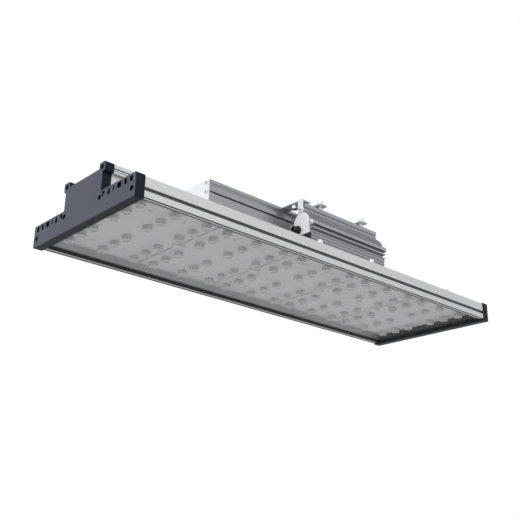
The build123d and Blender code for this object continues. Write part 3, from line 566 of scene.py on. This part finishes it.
lens_height = 0.0071
lens_glue = 0.00003
lens_pocket = 0.0013
lens_foot = 0.0004
rim_depth = 0.0001
lens_profile = [
    (0.0, lens_pocket - lens_height),
    (0.0028, lens_pocket - lens_height),
    (0.0029, lens_glue - lens_height),
    (0.0062, lens_glue - lens_height),
    (0.0063, lens_foot - lens_height),
    (0.00665, -0.0023),
    (0.00685, -0.001),
    (0.0068, -0.0003),
    (0.0064, 0.0),
    (0.0055, -0.00005),
    (0.0051, -0.0007),
    (0.0030, -0.0015),
    (0.0012, -0.0013),
    (0.0, -0.0011),
]
acrylic = Finish(bpy.data.materials.new("lens_acrylic"))
flow = acrylic.noise(scale=(260, 260, 260), detail=2.0)
rim = acrylic.along(2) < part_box("lenses")[0][2] + rim_depth
moulded_tone = acrylic.shades(flow, (0.7, 0.695, 0.7), (0.78, 0.775, 0.78))
acrylic_finish = acrylic.coat(
    Base_Color=acrylic.mix(rim, moulded_tone, (0.95, 0.94, 0.95, 1)),
    Roughness=flow * 0.08 + 0.26,
    Alpha=flow * 0.1 + rim * 0.3 + 0.55,
    Normal=acrylic.bump(flow, distance=0.00005, strength=0.4),
)
settle(
    "lens_pucks",
    repeated(turned(lens_profile, steps=28), outer_ends("lenses", axis=2, side=-1)),
    acrylic_finish,
    "lens_acrylic",
    "lenses",
)

# Board screws: small pan heads with a cross recess, in bright zinc with a faint blue
# passivation, driven up through the boards into the body's web.
zinc_finish = plated(
    "bright_zinc",
    dark=(0.62, 0.67, 0.69),
    light=(0.84, 0.87, 0.89),
    metallic=0.85,
    roughness=0.36,
)
board_screw = cross_screw(radius=0.0028, height=0.0019, shank=0.0014, length=0.00415)
settle(
    "board_screws_crossed",
    repeated(board_screw, outer_ends("board_screws", axis=2, side=-1)),
    zinc_finish,
    "zinc_steel",
    "board_screws",
)

# Bridging connectors over the boards' seams, and the supply terminal in the channel: natural
# white polyamide with eased edges.
connector_finish = moulded(
    "connector_white", dark=(0.72, 0.72, 0.69), light=(0.82, 0.82, 0.8), roughness=0.45
)
for name, node, edge_width in (
    ("board_links_eased", "board_links", 0.0003),
    ("terminal_eased", "terminal_block", 0.0004),
):
    settle_eased(name, node, edge_width, connector_finish, "connector_white")

# Control gear: an extruded box on feet that are screwed to the rails. Painted sheet plates
# close its ends, each held by four screws in the extrusion's ports.
gear_finish = extruded(
    "gear_anodised", dark=(0.3, 0.31, 0.325), light=(0.4, 0.41, 0.425), roughness=0.4
)
dressed(gear_finish, "gear_case")
plate_edge = 0.0003
plate_finish = moulded(
    "plate_paint", dark=(0.84, 0.87, 0.9), light=(0.91, 0.94, 0.97), roughness=0.4
)
for end in ("near", "far"):
    settle_eased(
        f"gear_plate_{end}", f"gear_end_plate_{end}", plate_edge, plate_finish, "plate_white"
    )


def plate_screws_for(case):
    """The screws in both end plates of a case."""
    screw = cross_screw(radius=0.0027, height=0.0018, shank=0.00165, length=0.012)
    settle(
        f"{case}_plate_screws_crossed",
        repeated(screw, outer_ends(f"{case}_plate_screws", axis=0)),
        zinc_finish,
        "zinc_steel",
        f"{case}_plate_screws",
    )


plate_screws_for("gear")
foot_screw = cross_screw(radius=0.0022, height=0.0018, shank=0.0014, length=0.00595)
settle(
    "gear_foot_screws_crossed",
    repeated(foot_screw, outer_ends("gear_foot_screws", axis=2, side=1)),
    zinc_finish,
    "zinc_steel",
    "gear_foot_screws",
)

# Cable glands: black polyamide, with a hexagon against the plate, a ribbed dome nut that
# clamps the cable, and a threaded tail inside the case.
gland_radius = 0.005
gland_bore = 0.0026
gland_thread = 0.004
gland_hexagon = 0.004
gland_dome = 0.007
gland_tail = 0.007
gland_across = 0.012
rib_depth = 0.00025
hexagon_edge = 0.0003
gland_finish = moulded(
    "gland_polyamide", dark=(0.01, 0.01, 0.012), light=(0.02, 0.02, 0.022), roughness=0.4
)


def gland():
    """One gland whose dome ends at the origin, facing +Z."""
    foot = -gland_dome
    tail = foot - gland_hexagon - gland_tail
    shape = turned(
        [
            (gland_bore, tail),
            (gland_thread, tail),
            (gland_thread, foot),
            (gland_radius, foot),
            (gland_radius, foot * 0.35),
            (gland_radius * 0.92, foot * 0.12),
            (gland_radius * 0.75, 0),
            (gland_bore, 0),
            (gland_bore, tail),
        ],
        steps=24,
    )
    ribs = [
        face
        for face in shape.faces
        if abs(face.normal.z) < 0.1 and face.calc_center_median().xy.length > gland_thread * 1.1
    ]
    bmesh.ops.inset_individual(shape, faces=ribs, thickness=rib_depth, depth=-rib_depth)
    outline = bmesh.ops.create_cone(
        shape,
        cap_ends=True,
        segments=6,
        radius1=gland_across / math.sqrt(3),
        radius2=gland_across / math.sqrt(3),
        depth=gland_hexagon,
        matrix=Matrix.Translation((0, 0, foot - gland_hexagon / 2)),
    )["verts"]
    bmesh.ops.bevel(
        shape,
        geom=list({edge for vert in outline for edge in vert.link_edges}),
        offset=hexagon_edge,
        segments=2,
        profile=0.5,
        affect="EDGES",
        material=-1,
    )
    return shape


for name, way in (("gear_gland_left", 1), ("gear_gland_right", 1), ("driver_gland", -1)):
    settle(
        f"{name}_ribbed",
        repeated(gland(), outer_ends(name, axis=0, side=way)),
        gland_finish,
        "gland_black",
        name,
    )

# Electronics inside both cases: an insulating film, a bare green board, a taped core and
# sleeved capacitors. Nothing of them shows while the cases are closed.
for name, dark, light, roughness, kind in (
    ("insulating_film", (0.6, 0.5, 0.25), (0.7, 0.6, 0.34), 0.35, "insulating_pad"),
    ("circuit_mask", (0.02, 0.12, 0.05), (0.03, 0.16, 0.07), 0.35, "circuit_board"),
    ("wound_core", (0.03, 0.03, 0.032), (0.06, 0.06, 0.064), 0.6, "transformer"),
    ("capacitor_sleeve", (0.02, 0.03, 0.07), (0.03, 0.04, 0.09), 0.25, "capacitors"),
):
    dressed(moulded(name, dark, light, roughness), f"gear_{kind}", f"driver_{kind}")

# Driver: a finned arch of darker grey anodised aluminium. Painted plates with a lug at each
# screw close it, and its near plate carries the gland.
driver_finish = extruded(
    "driver_anodised", dark=(0.33, 0.34, 0.365), light=(0.43, 0.44, 0.465), roughness=0.38
)
dressed(driver_finish, "driver_case")
for end in ("near", "far"):
    settle_eased(
        f"driver_plate_{end}",
        f"driver_end_plate_{end}",
        plate_edge,
        plate_finish,
        "plate_white",
    )
plate_screws_for("driver")

# Driver's base: a zinc-plated sheet across the fins, bolted down beside the driver to square
# nuts that lie between the fins.
base_finish = plated(
    "base_sheet",
    dark=(0.45, 0.46, 0.48),
    light=(0.57, 0.58, 0.6),
    metallic=0.8,
    roughness=0.45,
)
base_edge = 0.0003
settle_eased("base_sheet_eased", "driver_base", base_edge, base_finish, "base_steel")
for node in ("base_bolts", "base_nuts", "base_washers"):
    settle_eased(f"{node}_eased", node, base_edge, zinc_finish, "zinc_steel", steps=1)

# Straps: bent zinc-plated steel over the studs in the driver's boss, with a washer and a nut
# on each, and a screw into the control gear's roof.
strap_edge = 0.00025
nut_edge = 0.0004
dull_zinc_finish = plated(
    "dull_zinc",
    dark=(0.74, 0.77, 0.79),
    light=(0.88, 0.9, 0.92),
    metallic=0.3,
    roughness=0.5,
)
for node, finish in (
    ("strap_near", dull_zinc_finish),
    ("strap_far", dull_zinc_finish),
    ("strap_washers", zinc_finish),
):
    settle_eased(f"{node}_eased", node, strap_edge, finish, "zinc_steel")
for node in ("strap_nuts", "roof_screws"):
    settle_eased(f"{node}_eased", node, nut_edge, zinc_finish, "zinc_steel", steps=1)
dressed(zinc_finish, "strap_studs")

# Tie bracket and earth bolt: a folded strip from the near plate's top screw to the control
# gear's roof, with the bolt hanging from it on its washer.
washer_edge = 0.0002
settle_eased("tie_bracket_eased", "tie_bracket", strap_edge, dull_zinc_finish, "zinc_steel")
settle_eased("earth_washer_eased", "earth_washer", washer_edge, zinc_finish, "zinc_steel")
settle_eased("earth_bolt_eased", "earth_bolt", nut_edge, zinc_finish, "zinc_steel", steps=1)

# Studio: a pale floor well below the camera and a white room that lights the luminaire
# evenly, slightly stronger from the camera's side than from behind.
floor_half = 300
floor_level = -1.1
floor_shape = bmesh.new()
bmesh.ops.create_grid(floor_shape, x_segments=1, y_segments=1, size=floor_half)
bmesh.ops.translate(floor_shape, verts=floor_shape.verts, vec=(0, 0, floor_level))
floor_mesh = bpy.data.meshes.new("studio_floor")
floor_shape.to_mesh(floor_mesh)
floor_shape.free()
floor_finish = Finish(bpy.data.materials.new("studio_floor"))
floor_cloud = floor_finish.noise(scale=(2, 2, 2))
floor_tone = floor_finish.shades(floor_cloud, (0.56, 0.56, 0.56), (0.58, 0.58, 0.58))
floor_mesh.materials.append(floor_finish.coat(Base_Color=floor_tone, Roughness=0.9))
floor = bpy.data.objects.new("studio_floor", floor_mesh)
bpy.context.collection.objects.link(floor)

sky = Finish(bpy.data.worlds.new("studio_light"))
bpy.context.scene.world = sky.holder
glow = 0.92 - sky.along(0, "Generated") * 0.38 - sky.along(1, "Generated") * 0.1
glow = glow + sky.along(2, "Generated") * 0.3
seen = sky.node("LightPath", {}, {}, "Is Camera Ray")
sky.coat(Color=(1, 1, 1, 1), Strength=glow * (1 - seen) + seen)

# Camera: it looks up at the luminaire from below its near end, as the photograph does.
# Its place and turn come from a fit of the luminaire's corners.
camera_data = bpy.data.cameras.new("photo_camera")
camera_data.sensor_fit = "HORIZONTAL"
camera_data.sensor_width = 36.0
camera_data.lens = 56.654
camera_data.clip_end = 100.0
camera = bpy.data.objects.new("photo_camera", camera_data)
bpy.context.collection.objects.link(camera)
right = Vector((0.73571754, -0.67708201, 0.01672274))
down = Vector((0.24755594, 0.24584808, -0.93716315))
ahead = Vector((0.63042506, 0.69362718, 0.34849042))
turn = Matrix((right, -down, -ahead)).transposed().to_4x4()
camera.matrix_world = Matrix.Translation((-0.80092767, -0.82080016, -0.38066341)) @ turn
bpy.context.scene.camera = camera
bpy.context.scene.view_settings.view_transform = "Standard"
